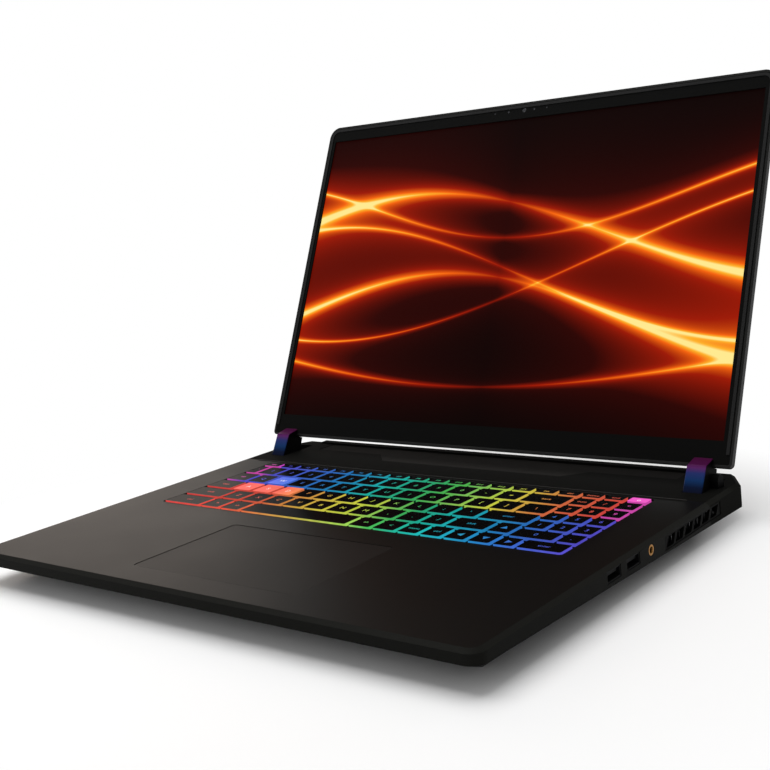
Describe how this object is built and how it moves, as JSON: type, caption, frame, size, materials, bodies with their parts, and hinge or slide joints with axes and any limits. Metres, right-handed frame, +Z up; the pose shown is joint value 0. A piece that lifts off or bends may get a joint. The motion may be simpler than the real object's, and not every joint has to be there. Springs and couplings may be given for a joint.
{
  "type": "laptop computer",
  "caption": "Open clamshell laptop with a lit island keyboard, touchpad, wide screen lid on two end hinges, side sockets and slanted exhaust grilles.",
  "frame": {"origin": "on the table under the middle of the open machine", "axes": "+X to the user's right, +Y to the rear, +Z up"},
  "size_m": [0.38, 0.3806, 0.2672],
  "materials": {
    "deck_metal": "matte charcoal anodised",
    "casing_plastic": "fine texture",
    "lid_metal": "matte charcoal anodised",
    "bezel_plastic": "fine texture",
    "screen_glass": "lit panel",
    "lens_glass": "dark glossy",
    "seal_rubber": "matte",
    "hinge_finish": "blue to violet colour shift",
    "hinge_steel": "brushed",
    "touchpad_face": "smooth satin",
    "keyboard_steel": "black",
    "tray_metal": "stamped",
    "light_sheet": "diffusing",
    "circuit_board": "solder mask",
    "chip_package": "satin",
    "copper": "drawn copper",
    "fin_metal": "plain",
    "fan_plastic": "moulded",
    "battery_wrap": "film wrap",
    "speaker_box": "moulded",
    "socket_metal": "stamped shell",
    "socket_plastic": "moulded",
    "jack_gold": "gold plated",
    "key_plastic": "fine texture",
    "lit_key_plastic": "translucent, lit from below"
  },
  "bodies": {
    "base": {"audio_jack": "jack_gold", "backlight_sheet": "light_sheet", "battery": "battery_wrap", "bottom_cover": "casing_plastic", "cover_screws": "hinge_steel", "fan_housing_left": "fan_plastic", "fan_housing_right": "fan_plastic", "fin_stacks": "fin_metal", "graphics_chip": "chip_package", "heat_pipes": "copper", "hinge_brackets": "hinge_steel", "hinge_pins": "hinge_steel", "hinge_washers": "hinge_steel", "keyboard_plate": "keyboard_steel", "mainboard": "circuit_board", "memory_modules": "circuit_board", "network_socket": "socket_plastic", "port_boards": "circuit_board", "power_inlet": "socket_plastic", "processor": "chip_package", "rubber_feet": "seal_rubber", "speakers": "speaker_box", "storage_drive": "circuit_board", "top_case": "deck_metal", "touchpad_switch": "circuit_board", "touchpad_tray": "tray_metal", "usb_c_socket": "socket_metal", "usb_socket_front": "socket_metal", "usb_socket_left": "socket_metal", "usb_socket_rear": "socket_metal", "vent_grilles": "casing_plastic", "video_socket": "socket_metal", "wireless_card": "circuit_board"},
    "lid": {"lid_back_cover": "lid_metal", "lid_bezel": "bezel_plastic", "display_panel": "screen_glass", "camera_module": "lens_glass", "lid_gasket": "seal_rubber", "hinge_cover_left": "hinge_finish", "hinge_cover_right": "hinge_finish", "hinge_arms": "hinge_steel"},
    "touchpad": {"touchpad": "touchpad_face"},
    "fan_left": {"fan_rotor_left": "fan_plastic"},
    "fan_right": {"fan_rotor_right": "fan_plastic"},
    "key_a": {"key_a": "lit_key_plastic"},
    "key_d": {"key_d": "lit_key_plastic"},
    "key_enter": {"key_enter": "key_plastic"},
    "key_escape": {"key_escape": "key_plastic"},
    "key_power": {"key_power": "lit_key_plastic"},
    "key_s": {"key_s": "lit_key_plastic"},
    "key_space": {"key_space": "key_plastic"},
    "key_w": {"key_w": "lit_key_plastic"},
    "keys_a_row": {"keys_a_row": "key_plastic"},
    "keys_bottom_row": {"keys_bottom_row": "key_plastic"},
    "keys_function_row": {"keys_function_row": "key_plastic"},
    "keys_number_pad": {"keys_number_pad": "key_plastic"},
    "keys_number_row": {"keys_number_row": "key_plastic"},
    "keys_q_row": {"keys_q_row": "key_plastic"},
    "keys_z_row": {"keys_z_row": "key_plastic"}
  },
  "joints": [
    {"name": "lid_hinge", "type": "hinge", "parent": "base", "child": "lid", "pos_m": [0, 0.0764, 0.02534], "axis": [-1, 0, 0], "range_deg": [-114.83, 25]},
    {"name": "touchpad_click", "type": "hinge", "parent": "base", "child": "touchpad", "pos_m": [0, -0.08665, 0.0176], "axis": [1, 0, 0], "range_deg": [0, 0.4], "stiffness_Nm_per_rad": 13, "springref_deg": -0.4},
    {"name": "fan_left_spin", "type": "hinge", "parent": "base", "child": "fan_left", "pos_m": [-0.13, 0.00375, 0.0085], "axis": [0, 0, 1], "continuous": true},
    {"name": "fan_right_spin", "type": "hinge", "parent": "base", "child": "fan_right", "pos_m": [0.13, 0.00375, 0.0085], "axis": [0, 0, 1], "continuous": true},
    {"name": "key_a_press", "type": "slide", "parent": "base", "child": "key_a", "axis": [0, 0, -1], "range_m": [0, 0.0015], "stiffness_N_per_m": 300, "springref_m": -0.001},
    {"name": "key_d_press", "type": "slide", "parent": "base", "child": "key_d", "axis": [0, 0, -1], "range_m": [0, 0.0015], "stiffness_N_per_m": 300, "springref_m": -0.001},
    {"name": "key_enter_press", "type": "slide", "parent": "base", "child": "key_enter", "axis": [0, 0, -1], "range_m": [0, 0.0015], "stiffness_N_per_m": 300, "springref_m": -0.001},
    {"name": "key_escape_press", "type": "slide", "parent": "base", "child": "key_escape", "axis": [0, 0, -1], "range_m": [0, 0.0015], "stiffness_N_per_m": 300, "springref_m": -0.001},
    {"name": "key_power_press", "type": "slide", "parent": "base", "child": "key_power", "axis": [0, 0, -1], "range_m": [0, 0.0015], "stiffness_N_per_m": 300, "springref_m": -0.001},
    {"name": "key_s_press", "type": "slide", "parent": "base", "child": "key_s", "axis": [0, 0, -1], "range_m": [0, 0.0015], "stiffness_N_per_m": 300, "springref_m": -0.001},
    {"name": "key_space_press", "type": "slide", "parent": "base", "child": "key_space", "axis": [0, 0, -1], "range_m": [0, 0.0015], "stiffness_N_per_m": 300, "springref_m": -0.001},
    {"name": "key_w_press", "type": "slide", "parent": "base", "child": "key_w", "axis": [0, 0, -1], "range_m": [0, 0.0015], "stiffness_N_per_m": 300, "springref_m": -0.001},
    {"name": "keys_a_row_press", "type": "slide", "parent": "base", "child": "keys_a_row", "axis": [0, 0, -1], "range_m": [0, 0.0015], "stiffness_N_per_m": 900, "springref_m": -0.001},
    {"name": "keys_bottom_row_press", "type": "slide", "parent": "base", "child": "keys_bottom_row", "axis": [0, 0, -1], "range_m": [0, 0.0015], "stiffness_N_per_m": 900, "springref_m": -0.001},
    {"name": "keys_function_row_press", "type": "slide", "parent": "base", "child": "keys_function_row", "axis": [0, 0, -1], "range_m": [0, 0.0015], "stiffness_N_per_m": 900, "springref_m": -0.001},
    {"name": "keys_number_pad_press", "type": "slide", "parent": "base", "child": "keys_number_pad", "axis": [0, 0, -1], "range_m": [0, 0.0015], "stiffness_N_per_m": 900, "springref_m": -0.001},
    {"name": "keys_number_row_press", "type": "slide", "parent": "base", "child": "keys_number_row", "axis": [0, 0, -1], "range_m": [0, 0.0015], "stiffness_N_per_m": 900, "springref_m": -0.001},
    {"name": "keys_q_row_press", "type": "slide", "parent": "base", "child": "keys_q_row", "axis": [0, 0, -1], "range_m": [0, 0.0015], "stiffness_N_per_m": 900, "springref_m": -0.001},
    {"name": "keys_z_row_press", "type": "slide", "parent": "base", "child": "keys_z_row", "axis": [0, 0, -1], "range_m": [0, 0.0015], "stiffness_N_per_m": 900, "springref_m": -0.001}
  ]
}
